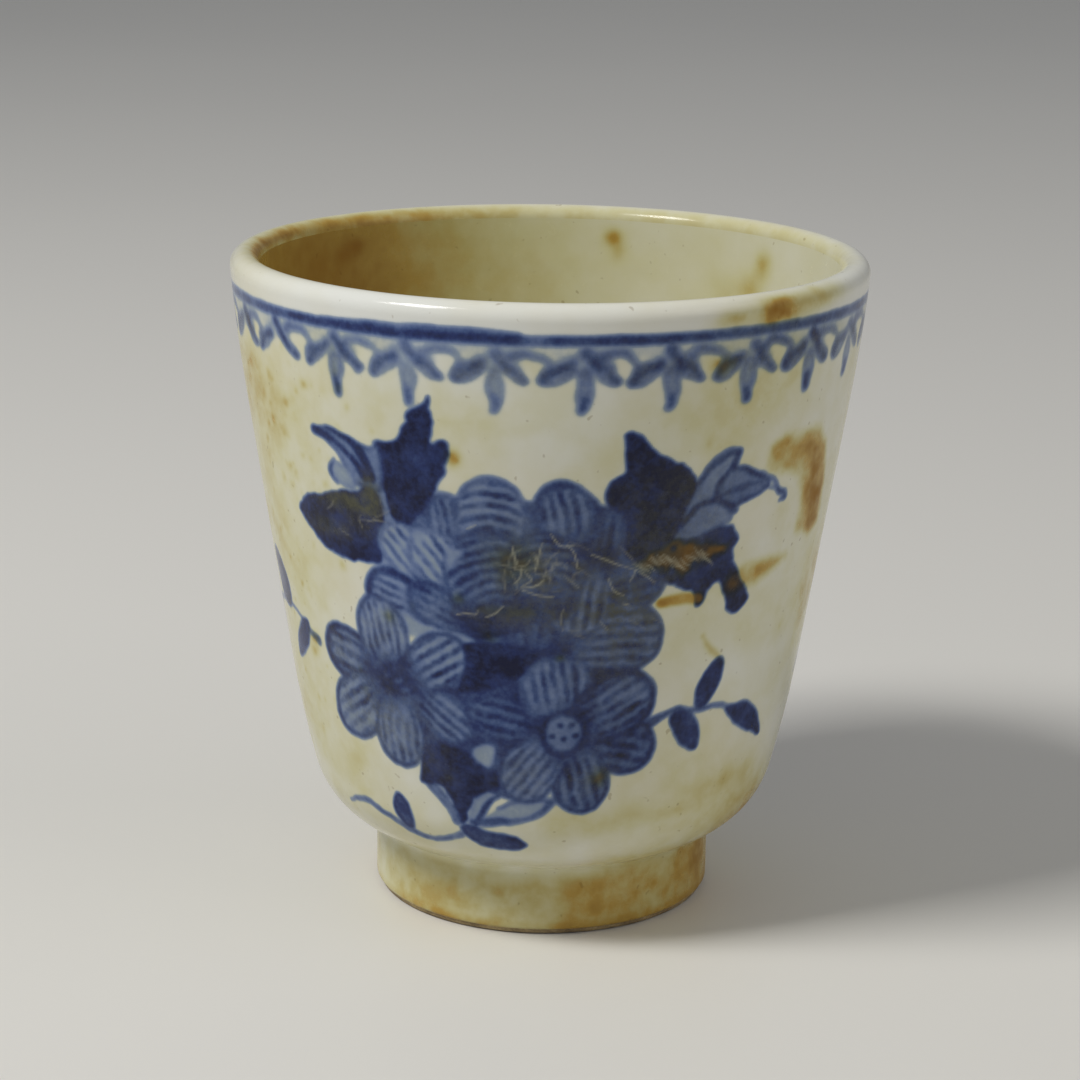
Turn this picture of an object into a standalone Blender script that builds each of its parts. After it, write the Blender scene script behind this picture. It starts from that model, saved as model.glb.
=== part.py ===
"""Porcelain teacup: a turned bowl on a foot ring, under coats of glaze.

Everything is turned about the Z axis and stands on the plane z = 0. The outline of the glazed
cup is walked once, from the foot up the outside, over the lip and down the inside to the middle
of the floor. Each piece is a layer of that outline, so wall and glaze keep an even thickness.
"""

import math

import bmesh
import bpy

MM = 0.001

# Driving dimensions, in millimetres. Radii are measured from the cup's axis.
FOOT_RADIUS = 18.0
FOOT_HEIGHT = 7.3
WALL = 3.0
GLAZE = 0.35
GAP = 0.3
BARE_EDGE = 0.7
FOOT_CHAMFER = 0.35
FOOT_JOINT = 6.6

UNDERSIDE_ANGLE = 28.3
UNDERSIDE_RUN = 1.4
FOOT_FILLET = 1.2
BELLY_RADIUS = 9.7
BELLY_TURN = 47.0
SHOULDER_RADIUS = 113.0
SHOULDER_TURN = 5.8
WALL_RUN = 29.1
FLARE_RADIUS = 174.0
FLARE_TURN = 4.3
FLOOR_RADIUS = 8.0

WELL_CEILING = 6.5
WELL_FILLET = 1.5

TURN_STEPS = 48
ARC_STEP = 24.0

BODY_INSET = GLAZE + GAP
FOOT_INNER_RADIUS = FOOT_RADIUS - WALL
LIP_RADIUS = WALL / 2


def walk(start, heading, runs):
    """Follow straight runs (length,) and arcs (radius, turn); a positive turn is to the left.

    Each node is (radius, height, heading), with the heading in degrees from the +R direction.
    """
    r, z = start
    nodes = [(r, z, heading)]
    for run in runs:
        if len(run) == 1:
            r += run[0] * math.cos(math.radians(heading))
            z += run[0] * math.sin(math.radians(heading))
            nodes.append((r, z, heading))
            continue
        radius, turn = run
        side = math.copysign(radius, turn)
        centre_r = r - side * math.sin(math.radians(heading))
        centre_z = z + side * math.cos(math.radians(heading))
        steps = max(2, math.ceil(abs(turn) / ARC_STEP))
        for step in range(1, steps + 1):
            angle = math.radians(heading + turn * step / steps)
            nodes.append((centre_r + side * math.sin(angle), centre_z - side * math.cos(angle),
                          math.degrees(angle)))
        r, z, heading = nodes[-1]
    return nodes


def layer(nodes, depth):
    """The outline moved to the left of its direction by depth, or to the right if negative."""
    points = []
    for r, z, heading in nodes:
        angle = math.radians(heading)
        points.append((r - depth * math.sin(angle), z + depth * math.cos(angle)))
    return points


def split_at(points, height):
    """Cut a rising outline where it first reaches a height; both halves keep the cut point."""
    for index, (low, high) in enumerate(zip(points, points[1:])):
        if low[1] <= height < high[1]:
            share = (height - low[1]) / (high[1] - low[1])
            cut = (low[0] + share * (high[0] - low[0]), height)
            return points[:index + 1] + [cut], [cut] + points[index + 1:]
    raise ValueError("the outline never reaches that height")


def reach_axis(nodes):
    """Close an outline that ends level, heading for the axis, with a node on the axis."""
    return nodes + [(0.0, nodes[-1][1], nodes[-1][2])]


def outside_outline():
    """From the bare edge of the foot up the outside and over the lip."""
    fillet_turn = 90.0 - UNDERSIDE_ANGLE
    fillet_reach = FOOT_FILLET * math.tan(math.radians(fillet_turn / 2))
    return walk((FOOT_RADIUS, BARE_EDGE), 90.0, [
        (FOOT_HEIGHT - fillet_reach - BARE_EDGE,),
        (FOOT_FILLET, -fillet_turn),
        (UNDERSIDE_RUN,),
        (BELLY_RADIUS, BELLY_TURN),
        (SHOULDER_RADIUS, SHOULDER_TURN),
        (WALL_RUN,),
        (FLARE_RADIUS, FLARE_TURN),
        (LIP_RADIUS, 180.0),
    ])


def inside_outline(lip_end):
    """From just under the lip down the inside to the middle of the floor."""
    r, z, heading = lip_end
    nodes = walk((r, z), heading, [
        (GAP,),
        (FLARE_RADIUS - WALL, -FLARE_TURN),
        (WALL_RUN - GAP,),
        (SHOULDER_RADIUS - WALL, -SHOULDER_TURN),
        (BELLY_RADIUS - WALL, -BELLY_TURN),
        (FLOOR_RADIUS, -UNDERSIDE_ANGLE),
    ])
    return reach_axis(nodes[1:])


def well_outline():
    """From the foot's inner edge up into the hollow under the cup and in to the axis."""
    nodes = walk((FOOT_INNER_RADIUS, BARE_EDGE), 90.0, [
        (WELL_CEILING - WELL_FILLET - BARE_EDGE,),
        (WELL_FILLET, 90.0),
    ])
    return reach_axis(nodes)


def plain_material(name, colour, roughness):
    material = bpy.data.materials.new(name)
    material.use_nodes = True
    shader = material.node_tree.nodes["Principled BSDF"]
    shader.inputs["Base Color"].default_value = (*colour, 1.0)
    shader.inputs["Roughness"].default_value = roughness
    shader.inputs["Metallic"].default_value = 0.0
    return material


def turned(name, outline, closed, collection, colour, roughness):
    """Turn an outline, given counter-clockwise, about Z. A closed one never meets the axis."""
    mesh = bpy.data.meshes.new(name)
    profile = bmesh.new()
    verts = [profile.verts.new((r * MM, 0.0, z * MM)) for r, z in reversed(outline)]
    for first, second in zip(verts, verts[1:]):
        profile.edges.new((first, second))
    if closed:
        profile.edges.new((verts[-1], verts[0]))
    profile.to_mesh(mesh)
    profile.free()

    piece = bpy.data.objects.new(name, mesh)
    collection.objects.link(piece)
    piece.data.materials.append(plain_material(name, colour, roughness))
    screw = piece.modifiers.new("turn", "SCREW")
    screw.steps = TURN_STEPS
    screw.render_steps = TURN_STEPS
    screw.use_merge_vertices = True
    screw.merge_threshold = 0.00001
    screw.use_smooth_shade = True
    return piece


def build():
    for old in list(bpy.data.objects):
        bpy.data.objects.remove(old, do_unlink=True)
    cup = bpy.data.collections.new("teacup")
    bpy.context.scene.collection.children.link(cup)

    outside = outside_outline()
    inside = inside_outline(outside[-1])
    well = well_outline()

    # The clay body: its outer face follows the glaze, and the foot ring joins it at FOOT_JOINT.
    foot_outer = [(FOOT_RADIUS - BODY_INSET, FOOT_CHAMFER)] + layer(outside, BODY_INSET)[1:]
    foot_inner = [(FOOT_INNER_RADIUS + BODY_INSET, FOOT_CHAMFER)] + layer(well, -BODY_INSET)[1:]
    ring_outer = split_at(foot_outer, FOOT_JOINT)[0]
    ring_inner = split_at(foot_inner, FOOT_JOINT)[0]
    bowl_outer = split_at(foot_outer, FOOT_JOINT + GAP)[1]
    bowl_under = split_at(foot_inner, FOOT_JOINT + GAP)[1]

    bowl = bowl_under[::-1] + bowl_outer + layer(inside, BODY_INSET)
    turned("bowl", bowl, False, cup, (0.80, 0.78, 0.68), 0.6)

    foot_sole = [(FOOT_INNER_RADIUS + BODY_INSET + FOOT_CHAMFER, 0.0),
                 (FOOT_RADIUS - BODY_INSET - FOOT_CHAMFER, 0.0)]
    turned("foot_ring", foot_sole + ring_outer + ring_inner[::-1], True, cup,
           (0.62, 0.52, 0.36), 0.8)

    outer_glaze = layer(outside, 0.0) + layer(outside, GLAZE)[::-1]
    turned("outer_glaze", outer_glaze, True, cup, (0.68, 0.70, 0.66), 0.12)

    inner_glaze = layer(inside, GLAZE)[::-1] + layer(inside, 0.0)
    turned("inner_glaze", inner_glaze, False, cup, (0.66, 0.62, 0.48), 0.14)

    well_glaze = layer(well, 0.0)[::-1] + layer(well, -GLAZE)
    turned("well_glaze", well_glaze, False, cup, (0.70, 0.66, 0.52), 0.16)


build()
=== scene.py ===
import math

import bpy
import numpy as np
from mathutils import Matrix, Vector


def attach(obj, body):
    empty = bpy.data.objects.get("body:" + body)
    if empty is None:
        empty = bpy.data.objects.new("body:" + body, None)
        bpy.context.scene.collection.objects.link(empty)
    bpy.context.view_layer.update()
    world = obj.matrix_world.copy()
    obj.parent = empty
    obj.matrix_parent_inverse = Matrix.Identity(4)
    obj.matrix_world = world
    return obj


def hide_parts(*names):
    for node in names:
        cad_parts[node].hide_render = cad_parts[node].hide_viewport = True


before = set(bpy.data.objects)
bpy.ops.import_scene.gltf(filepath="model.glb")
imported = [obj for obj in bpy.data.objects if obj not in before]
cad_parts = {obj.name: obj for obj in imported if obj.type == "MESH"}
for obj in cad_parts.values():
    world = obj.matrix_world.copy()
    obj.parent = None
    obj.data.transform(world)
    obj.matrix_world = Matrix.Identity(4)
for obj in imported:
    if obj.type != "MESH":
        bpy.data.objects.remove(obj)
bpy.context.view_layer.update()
mm = 0.001

# the camera stands a forearm away and looks a little down into the cup
camera = {"place": (0.0, -0.2852, 0.1151), "pitch": 15.2, "yaw": -0.13, "roll": 0.84, "lens": 92.5}

# the cup's own measures in mm, the same as the solid's
cup = {"footRadius": 18.0, "footHeight": 7.3, "wall": 3.0, "bareEdge": 0.85, "edgeRoll": 0.3,
       "undersideAngle": 28.3, "undersideRun": 1.4, "footFillet": 1.2, "bellyRadius": 9.7,
       "bellyTurn": 47.0, "shoulderRadius": 113.0, "shoulderTurn": 5.8, "wallRun": 29.1,
       "flareRadius": 174.0, "flareTurn": 4.3, "floorRadius": 8.0, "wellCeiling": 6.5,
       "wellFillet": 1.5}

# u is measured round the wall at this radius, so a millimetre of u is a millimetre of painting
paintRadius = 30.0
aroundCup = 2.0 * math.pi * paintRadius
paintLayers = ("cobalt", "stain", "dust", "lint")


def placeCamera(settings):
    pitch, yaw, roll = (math.radians(settings[key]) for key in ("pitch", "yaw", "roll"))
    forward = Vector((math.sin(yaw) * math.cos(pitch), math.cos(yaw) * math.cos(pitch), -math.sin(pitch)))
    right = Vector((math.cos(yaw), -math.sin(yaw), 0.0))
    up = right.cross(forward)
    across = math.cos(roll) * right + math.sin(roll) * up
    upright = math.cos(roll) * up - math.sin(roll) * right
    data = bpy.data.cameras.new("camera")
    data.lens = settings["lens"]
    data.sensor_width = 36.0
    data.clip_start = 0.01
    view = bpy.data.objects.new("camera", data)
    turn = Matrix((across, upright, -forward)).transposed()
    view.matrix_world = Matrix.Translation(settings["place"]) @ turn.to_4x4()
    bpy.context.scene.collection.objects.link(view)
    bpy.context.scene.camera = view


placeCamera(camera)
print("camera placed")


# brush tools on the unrolled wall: u is millimetres round the wall, z is millimetres up

def smoothStep(low, high, value):
    share = np.clip((value - low) / (high - low), 0.0, 1.0)
    return share * share * (3.0 - 2.0 * share)


def softNoise(canvas, grain, seed):
    # smooth noise from -1 to 1 that meets itself round the cup; grain is its size in mm
    width = canvas["u"][-1] - canvas["u"][0]
    cols = max(3, round(width / grain))
    rows = math.ceil((canvas["z"][-1] - canvas["z"][0]) / grain) + 2
    values = np.random.default_rng(seed).uniform(-1.0, 1.0, (rows, cols))
    x = (canvas["u"] - canvas["u"][0]) / width * cols
    y = (canvas["z"] - canvas["z"][0]) / grain
    left, low = np.floor(x).astype(int) % cols, np.floor(y).astype(int)
    shareX, shareY = smoothStep(0.0, 1.0, x % 1.0), smoothStep(0.0, 1.0, y % 1.0)[:, None]
    lowRow = values[low][:, left] * (1 - shareX) + values[low][:, (left + 1) % cols] * shareX
    highRow = values[low + 1][:, left] * (1 - shareX) + values[low + 1][:, (left + 1) % cols] * shareX
    return lowRow * (1 - shareY) + highRow * shareY


def makeCanvas(u, z):
    canvas = {"u": u, "z": z}
    for layer in paintLayers:
        canvas[layer] = np.zeros((len(z), len(u)))
    # a hand does not draw a straight edge: the brush wavers a little everywhere
    canvas["waverU"] = 0.12 * softNoise(canvas, 2.2, 1) + 0.08 * softNoise(canvas, 0.8, 2)
    canvas["waverZ"] = 0.12 * softNoise(canvas, 2.2, 3) + 0.08 * softNoise(canvas, 0.8, 4)
    canvas["load"] = 0.6 * softNoise(canvas, 1.6, 5) + 0.4 * softNoise(canvas, 0.6, 6)
    return canvas


def curveThrough(points, closed=False, steps=6):
    # an even curve through the given points
    pts = np.array(points, float)
    count = len(pts)
    line = []
    for index in range(count if closed else count - 1):
        if closed:
            p0, p1, p2, p3 = (pts[(index + shift) % count] for shift in (-1, 0, 1, 2))
        else:
            p0, p1 = pts[max(index - 1, 0)], pts[index]
            p2, p3 = pts[index + 1], pts[min(index + 2, count - 1)]
        for step in range(steps):
            t = step / steps
            line.append(0.5 * (2 * p1 + (p2 - p0) * t + (2 * p0 - 5 * p1 + 4 * p2 - p3) * t * t
                               + (3 * p1 - p0 - 3 * p2 + p3) * t ** 3))
    if not closed:
        line.append(pts[-1])
    return np.array(line)


def patchAround(canvas, points, pad, waver=1.0):
    # the part of the canvas within pad of the points
    points = np.asarray(points)
    lowU, lowZ = points.min(axis=0) - pad
    highU, highZ = points.max(axis=0) + pad
    cols = slice(*np.searchsorted(canvas["u"], (lowU, highU)))
    rows = slice(*np.searchsorted(canvas["z"], (lowZ, highZ)))
    gridU, gridZ = np.meshgrid(canvas["u"][cols], canvas["z"][rows])
    gridU += waver * canvas["waverU"][rows, cols]
    gridZ += waver * canvas["waverZ"][rows, cols]
    return (rows, cols), gridU, gridZ


def distanceTo(line, gridU, gridZ):
    # distance to a line of short runs, and how far along it the nearest point lies, 0 to 1
    best = np.full(gridU.shape, 1e9)
    along = np.zeros(gridU.shape)
    runs = np.hypot(*np.diff(line, axis=0).T)
    marks = np.concatenate([[0.0], np.cumsum(runs)]) / max(runs.sum(), 1e-9)
    for index, (start, end) in enumerate(zip(line[:-1], line[1:])):
        stepU, stepZ = end - start
        square = max(stepU ** 2 + stepZ ** 2, 1e-9)
        t = np.clip(((gridU - start[0]) * stepU + (gridZ - start[1]) * stepZ) / square, 0.0, 1.0)
        gap = np.hypot(gridU - start[0] - t * stepU, gridZ - start[1] - t * stepZ)
        nearer = gap < best
        best = np.where(nearer, gap, best)
        along = np.where(nearer, marks[index] + t * (marks[index + 1] - marks[index]), along)
    return best, along


def insideOf(line, gridU, gridZ):
    inside = np.zeros(gridU.shape, bool)
    for (u0, z0), (u1, z1) in zip(line, np.roll(line, -1, axis=0)):
        if z0 != z1:
            crosses = (z0 > gridZ) != (z1 > gridZ)
            inside ^= crosses & (gridU < u0 + (gridZ - z0) * (u1 - u0) / (z1 - z0))
    return inside


def lay(canvas, where, mask, ink, layer="cobalt", over=True):
    # over paints out what is there; otherwise one wash on another darkens it
    old = canvas[layer][where]
    if over:
        canvas[layer][where] = old + (np.clip(ink, 0.0, 1.0) - old) * mask
    else:
        canvas[layer][where] = 1.0 - (1.0 - old) * (1.0 - mask * np.clip(ink, 0.0, 1.0))


def stroke(canvas, points, width, ink=0.8, edge=0.2, over=False, layer="cobalt", waver=1.0):
    # a brush stroke through points; width lists its width along the way
    line = curveThrough(points)
    where, gridU, gridZ = patchAround(canvas, line, max(width) / 2 + edge, waver)
    if not gridU.size:
        return
    gap, along = distanceTo(line, gridU, gridZ)
    half = np.interp(along, np.linspace(0.0, 1.0, len(width)), np.array(width) / 2)
    tone = ink * (1.0 + 0.2 * canvas["load"][where])
    lay(canvas, where, smoothStep(-edge, edge, half - gap), tone, layer, over)


def dab(canvas, u, z, reachU, reachZ, amount, layer="stain"):
    # a soft round patch added to what is there; it may lie across the seam, and broad ones are smoother
    uneven = 0.45 if reachU < 3.0 else 0.15
    apart = (canvas["u"] - u + aroundCup / 2) % aroundCup - aroundCup / 2
    cols = np.abs(apart) < 2.4 * reachU
    rows = np.abs(canvas["z"] - z) < 2.4 * reachZ
    where = np.ix_(rows, cols)
    far = (apart[cols] / reachU) ** 2 + ((canvas["z"][rows] - z) / reachZ)[:, None] ** 2
    canvas[layer][where] += amount * np.exp(-far) * (1.0 + uneven * canvas["load"][where])


def dabs(canvas, rows, layer="stain"):
    # each row: u, z, how far it reaches both ways, how much
    for row in rows:
        dab(canvas, *row, layer)


def soften(ink, passes=1):
    # the colour creeps a little under the glaze; each pass spreads it by a cell
    for _ in range(passes):
        ink = 0.6 * ink + 0.2 * (np.roll(ink, 1, axis=1) + np.roll(ink, -1, axis=1))
        above, below = np.vstack([ink[1:], ink[-1:]]), np.vstack([ink[:1], ink[:-1]])
        ink = 0.6 * ink + 0.2 * (above + below)
    return ink


def area(canvas, points, ink=0.95, edge=0.2, rim=0.0, over=True, layer="cobalt", steps=4, ragged=0.0):
    # a filled outline; rim is how much darker its edge is, where the colour pools
    line = curveThrough(points, closed=True, steps=steps)
    where, gridU, gridZ = patchAround(canvas, line, edge + 0.4)
    if not gridU.size:
        return
    gap, _ = distanceTo(np.vstack([line, line[:1]]), gridU, gridZ)
    depth = np.where(insideOf(line, gridU, gridZ), gap, -gap) + ragged * canvas["load"][where]
    tone = ink * (1.0 + 0.16 * canvas["load"][where]) + rim * np.exp(-(np.maximum(depth, 0.0) / 0.4) ** 2)
    lay(canvas, where, smoothStep(-edge, edge, depth), tone, layer, over)


def petal(canvas, base, tip, width, hatch, wash, line, rim, rimWidth=0.55, belly=0.6, bend=0.0,
          shell=False):
    # an outlined petal from base to tip, hatched with lines pulled from its root, or in shells;
    # wash, line and rim are how dark its ground, its lines and its edge are
    base, tip = np.array(base, float), np.array(tip, float)
    length = math.hypot(*(tip - base))
    dirU, dirZ = (tip - base) / length
    where, gridU, gridZ = patchAround(canvas, [base, tip], width * 0.75 + abs(bend) + 0.5)
    if not gridU.size:
        return
    load = canvas["load"][where]
    along = ((gridU - base[0]) * dirU + (gridZ - base[1]) * dirZ) / length
    across = (gridU - base[0]) * dirZ - (gridZ - base[1]) * dirU
    across = across - bend * np.sin(np.clip(along, 0.0, 1.0) * math.pi) * 0.5
    half = width / 2
    # straight sides that widen up to the belly, then half an ellipse
    side = half * (0.5 + 0.5 * np.sin(np.clip(along / belly, 0.0, 1.0) * math.pi / 2))
    cap = np.maximum((along - belly) / (1.0 - belly), 0.0)
    depthSide = np.minimum(side - np.abs(across), along * length + 0.4)
    depthCap = (1.0 - np.hypot(cap, across / half)) * min((1.0 - belly) * length, half)
    depth = np.where(along > belly, depthCap, depthSide)
    if shell:
        turns = np.hypot(across, along * length) * hatch * 2.0 / length
    else:
        turns = hatch * across / np.maximum(side, 0.2)
    stripes = 0.5 + 0.5 * np.cos(math.pi * turns + 0.9 * load)
    stripes = smoothStep(0.25, 0.8, stripes) * (0.8 + 0.7 * load)
    # the hatching fades into the rim, and runs together at the root
    stripes = stripes * smoothStep(rimWidth * 0.3, rimWidth + 0.3, depth)
    root = 1.0 - smoothStep(0.05, 0.5, along)
    tone = wash * (1.0 + 0.2 * load) + (line - wash) * np.maximum(stripes, root * 1.1)
    rimMask = 1.0 - smoothStep(rimWidth * 0.5, rimWidth * 1.3, depth + 0.2 * load)
    tone = tone + (np.maximum(rim, tone) - tone) * rimMask * smoothStep(0.0, 0.3, along)
    lay(canvas, where, smoothStep(-0.25, 0.25, depth), tone)


def peony(canvas):
    # the outer row first, the heart of the flower last
    petal(canvas, (-9, 43.4), (-10, 50.2), 4.4, 5, 0.4, 0.7, 0.6)
    petal(canvas, (5, 42.6), (5.4, 49.2), 5, 5, 0.54, 0.74, 0.66)
    petal(canvas, (-5.4, 43.2), (-5.2, 52.2), 7.4, 7.5, 0.32, 0.74, 0.58, 0.6, belly=0.5, shell=True)
    petal(canvas, (2.4, 44), (0.8, 51.9), 6.4, 6, 0.38, 0.76, 0.68, belly=0.52, bend=0.8, rimWidth=0.8)
    petal(canvas, (-11, 39.6), (-16.6, 46), 5.2, 5, 0.2, 0.68, 0.46)
    petal(canvas, (-11.6, 37.4), (-19.6, 39.4), 5.6, 6, 0.34, 0.74, 0.82, rimWidth=0.8)
    petal(canvas, (-7.2, 38.4), (-13, 45.8), 5.8, 5, 0.2, 0.68, 0.46)
    petal(canvas, (0, 37.6), (12, 41.4), 5.6, 5, 0.58, 0.76, 0.62)
    petal(canvas, (-0.5, 34.6), (12.6, 35.4), 7.4, 6, 0.42, 0.74, 0.68, belly=0.72, bend=-1)
    petal(canvas, (4.8, 44.6), (3, 35.4), 7, 6, 0.34, 0.76, 0.6, bend=1.2)
    petal(canvas, (-6.4, 36.2), (-14.4, 39.4), 4.8, 5, 0.52, 0.8, 0.7)
    petal(canvas, (-1.8, 33.4), (-1.7, 38.4), 5.4, 4, 0.6, 0.78, 0.7)
    petal(canvas, (-4.4, 36), (-6.6, 46.6), 9.6, 10, 0.46, 0.8, 0.66, shell=True, belly=0.5)
    petal(canvas, (0.4, 37.6), (-0.6, 46.8), 8.4, 9, 0.5, 0.78, 0.7, shell=True, belly=0.5)


def leftFlower(canvas):
    # half hidden petals first, then the four that face us
    petal(canvas, (-18.6, 30.2), (-27.5, 31.6), 6.1, 4, 0.36, 0.74, 0.85, rimWidth=0.85)
    petal(canvas, (-15.4, 29.2), (-7.8, 24), 5.4, 5, 0.38, 0.74, 0.66)
    petal(canvas, (-17.4, 29.6), (-18.7, 38.3), 6.8, 7, 0.28, 0.6, 0.62, belly=0.56)
    petal(canvas, (-16, 29.4), (-8.1, 34.2), 6.2, 5, 0.28, 0.8, 0.72)
    petal(canvas, (-18, 28.8), (-26.7, 22.8), 7, 5, 0.3, 0.68, 0.74, belly=0.58)
    petal(canvas, (-17, 28.4), (-17.1, 19.6), 6.8, 6, 0.32, 0.62, 0.68, belly=0.58)


def rightFlower(canvas):
    # the petal behind comes first
    petal(canvas, (1.4, 25.4), (-8.8, 27.6), 4.8, 4, 0.52, 0.8, 0.76)
    petal(canvas, (2.1, 25.8), (0.6, 33.6), 8, 7, 0.38, 0.68, 0.6, belly=0.52)
    petal(canvas, (2.6, 25), (13, 22.6), 6.2, 5, 0.58, 0.88, 0.86, belly=0.62)
    petal(canvas, (2.8, 25.4), (12, 30.2), 7.4, 6, 0.46, 0.8, 0.84, rimWidth=0.8)
    petal(canvas, (2.8, 24.6), (5.6, 16.2), 6.8, 5, 0.44, 0.8, 0.8)
    petal(canvas, (2, 24.8), (-4.1, 17.9), 6.6, 6, 0.32, 0.62, 0.66)


darkLeaves = [
    # left of the peony: one leaf up, one leaf out
    [(-16.8, 54.2), (-14.2, 54.8), (-12.6, 57.2), (-11, 58.5), (-10.4, 57), (-10.8, 55),
     (-9.4, 55.4), (-9, 54), (-9.7, 52), (-10.7, 50), (-11.2, 47.6), (-12, 45.6),
     (-14.2, 45.8), (-15.6, 48), (-16, 51)],
    [(-28.8, 45.2), (-27.4, 46.8), (-25, 47.4), (-22.5, 48.2), (-20, 48.9), (-17.2, 49.4),
     (-16.4, 47), (-17, 41.9), (-19.5, 41.7), (-22, 41.4), (-25, 42), (-26.6, 43.4)],
    # right of it: one leaf up, one leaf down
    [(7, 56.3), (8.1, 56.5), (9.2, 55.5), (10, 54.4), (11.6, 53.5), (13.2, 52.6),
     (14.4, 50.9), (14, 48.4), (12.8, 46), (11.8, 44.2), (8.4, 43.4), (7.2, 45.4),
     (6.5, 48), (5.6, 50.2), (6.3, 51.8), (7.3, 52.4), (7.2, 54.4)],
    [(15.2, 45.4), (16.4, 46.6), (18.4, 46.1), (19.5, 45.8), (20.4, 44.4), (19.6, 43.3),
     (20.4, 41.8), (21.4, 39.9), (22.6, 38.8), (22.9, 37.6), (22, 36.5), (20.9, 36.4),
     (20.2, 37.4), (19.9, 38.6), (18.6, 40.2), (17.2, 39.7), (16.9, 38.2), (16, 38),
     (15.3, 39.5), (13, 40.6), (9.6, 41.6), (9, 43.6), (12, 45)],
]


def leftSpray(canvas):
    # a pale veined leaf curling out behind the dark ones
    area(canvas, [(-24.4, 54.5), (-22, 54.9), (-19.6, 54.5), (-17.6, 53.7), (-16, 53.8), (-16, 50.5),
        (-16.6, 49.2), (-19, 49.4), (-20.2, 50.2), (-21, 52), (-22.6, 53.4)], 0.36, rim=0.3)
    stroke(canvas, [(-24.3, 54.4), (-22, 53.9), (-19.6, 52.4), (-18.2, 50.4)], (1, 0.6, 0.6, 0.8), 0.7)
    stroke(canvas, [(-22.5, 54.8), (-20, 54.3), (-18.4, 53), (-17.4, 50.6)], (0.3, 0.5, 1, 1.1), 0.7)
    area(canvas, [(-21.8, 51.6), (-22.6, 50.6), (-21.8, 49.4), (-19.6, 49), (-19.8, 50.6)], 0.24,
        rim=0.15)
    stroke(canvas, [(-22, 51.7), (-22.6, 50.4), (-21.8, 49.3)], (0.5, 0.6, 0.3), 0.45)


def rightSpray(canvas):
    # pale leaves with dark edges and a curled tip
    area(canvas, [(13.4, 47.2), (14.6, 50.4), (15.9, 52.8), (18.2, 53.9), (18.9, 53.6), (18.7, 51.8),
        (17.6, 50.6), (16.6, 48.8)], 0.34, rim=0.1)
    stroke(canvas, [(14.7, 51), (16, 52.7), (17.6, 53.7), (18.9, 53.6)], (0.5, 0.9, 1, 0.7), 0.62)
    stroke(canvas, [(18.8, 53.4), (18.2, 51.6), (17, 50.2), (16.8, 48.8)], (0.8, 0.9, 0.8, 0.6), 0.7)
    area(canvas, [(16.9, 49.4), (17.8, 51.7), (19.5, 52), (21.6, 51), (23.6, 49.9), (22.9, 48.9),
        (20.6, 48.2), (18.4, 48)], 0.42, rim=0.35)
    stroke(canvas, [(17.2, 49.2), (19.4, 49.8), (22.6, 49.9)], (0.4, 0.6, 0.3), 0.4)
    stroke(canvas, [(19.6, 51.8), (21.8, 50.8), (24.2, 49.9), (25.2, 48.5), (26.3, 48.3), (26.5, 47.7),
        (25.6, 47.5)], (0.5, 0.6, 0.8, 0.5, 0.6, 0.5, 0.3), 0.5)
    stroke(canvas, [(22.6, 49.4), (24.8, 48.9), (26.5, 47.7)], (0.3, 0.5, 0.7), 0.4)
    area(canvas, [(12.9, 46.2), (14.6, 48.4), (16.8, 48.8), (18.8, 48), (19.2, 46.6), (17.4, 46),
        (15.4, 45.6)], 0.34, rim=0.15)
    stroke(canvas, [(13.2, 46.6), (14.8, 48.3), (17, 48.8), (19.4, 47.6)], (0.5, 0.6, 0.6, 0.8), 0.62)


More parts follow.
